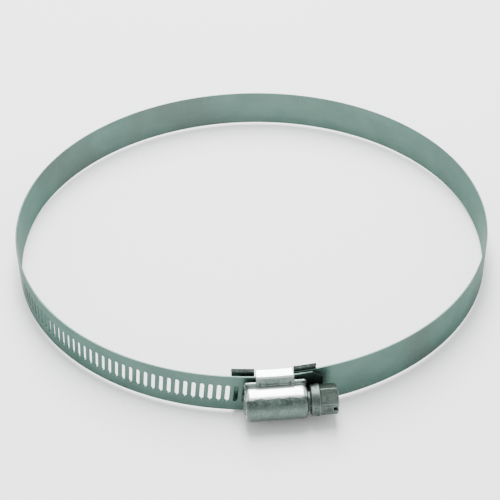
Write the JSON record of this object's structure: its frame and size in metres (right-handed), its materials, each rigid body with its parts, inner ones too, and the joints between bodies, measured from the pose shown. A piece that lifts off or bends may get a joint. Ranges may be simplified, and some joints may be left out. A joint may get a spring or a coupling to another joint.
{
  "type": "worm-drive hose clamp",
  "caption": "Worm-drive hose clamp: a slotted steel band drawn tight round a hose by a captive hex-head worm screw in a domed housing.",
  "frame": {"origin": "centre of the hose, at half the band's width", "axes": "+Z along the hose; the housing sits at -Y with the screw parallel to X and its head towards +X"},
  "size_m": [0.1538, 0.1645, 0.0144],
  "materials": {
    "band_steel": "satin rolled strip",
    "housing_steel": "bright pressed sheet",
    "screw_steel": "dull plated, worn at the edges",
    "saddle_steel": "satin pressed sheet"
  },
  "bodies": {
    "root": {"saddle": "saddle_steel", "housing": "housing_steel"},
    "screw": {"screw": "screw_steel"},
    "band_tail": {"band_tail": "band_steel"},
    "band_link_01": {"band_link_01": "band_steel"},
    "band_link_02": {"band_link_02": "band_steel"},
    "band_link_03": {"band_link_03": "band_steel"},
    "band_link_04": {"band_link_04": "band_steel"},
    "band_link_05": {"band_link_05": "band_steel"},
    "band_link_06": {"band_link_06": "band_steel"},
    "band_link_07": {"band_link_07": "band_steel"},
    "band_link_08": {"band_link_08": "band_steel"},
    "band_link_09": {"band_link_09": "band_steel"}
  },
  "joints": [
    {"name": "band_draw", "type": "hinge", "parent": "root", "child": "band_tail", "pos_m": [0, -0.0022, 0], "axis": [0, 0, 1], "range_deg": [0, 51.17]},
    {"name": "screw_turn", "type": "hinge", "parent": "root", "child": "screw", "pos_m": [0, -0.0828, 0], "axis": [-1, 0, 0], "range_deg": [0, 10080]},
    {"name": "band_flex_01", "type": "hinge", "parent": "band_tail", "child": "band_link_01", "pos_m": [-0.07389, -0.022, 0], "axis": [0, 0, 1], "range_deg": [-8.38, 0]},
    {"name": "band_flex_02", "type": "hinge", "parent": "band_link_01", "child": "band_link_02", "pos_m": [-0.07389, 0.0198, 0], "axis": [0, 0, 1], "range_deg": [-5.95, 0]},
    {"name": "band_flex_03", "type": "hinge", "parent": "band_link_02", "child": "band_link_03", "pos_m": [-0.05409, 0.05409, 0], "axis": [0, 0, 1], "range_deg": [-4.17, 0]},
    {"name": "band_flex_04", "type": "hinge", "parent": "band_link_03", "child": "band_link_04", "pos_m": [-0.0198, 0.07389, 0], "axis": [0, 0, 1], "range_deg": [-3.29, 0]},
    {"name": "band_flex_05", "type": "hinge", "parent": "band_link_04", "child": "band_link_05", "pos_m": [0.0198, 0.07389, 0], "axis": [0, 0, 1], "range_deg": [-3.34, 0]},
    {"name": "band_flex_06", "type": "hinge", "parent": "band_link_05", "child": "band_link_06", "pos_m": [0.05409, 0.05409, 0], "axis": [0, 0, 1], "range_deg": [-4.13, 0]},
    {"name": "band_flex_07", "type": "hinge", "parent": "band_link_06", "child": "band_link_07", "pos_m": [0.07389, 0.0198, 0], "axis": [0, 0, 1], "range_deg": [-5.19, 0]},
    {"name": "band_flex_08", "type": "hinge", "parent": "band_link_07", "child": "band_link_08", "pos_m": [0.07389, -0.0209, 0], "axis": [0, 0, 1], "range_deg": [-6.02, 0]},
    {"name": "band_flex_09", "type": "hinge", "parent": "band_link_08", "child": "band_link_09", "pos_m": [0.05409, -0.05519, 0], "axis": [0, 0, 1], "range_deg": [-6.27, 0]}
  ],
  "couplings": [
    {"joint": "screw_turn", "follows": "band_draw", "ratio": 196.99},
    {"joint": "band_flex_01", "follows": "band_draw", "ratio": -0.16209},
    {"joint": "band_flex_02", "follows": "band_draw", "ratio": -0.11519},
    {"joint": "band_flex_03", "follows": "band_draw", "ratio": -0.080781},
    {"joint": "band_flex_04", "follows": "band_draw", "ratio": -0.063595},
    {"joint": "band_flex_05", "follows": "band_draw", "ratio": -0.064697},
    {"joint": "band_flex_06", "follows": "band_draw", "ratio": -0.079906},
    {"joint": "band_flex_07", "follows": "band_draw", "ratio": -0.1004},
    {"joint": "band_flex_08", "follows": "band_draw", "ratio": -0.11641},
    {"joint": "band_flex_09", "follows": "band_draw", "ratio": -0.12127}
  ]
}
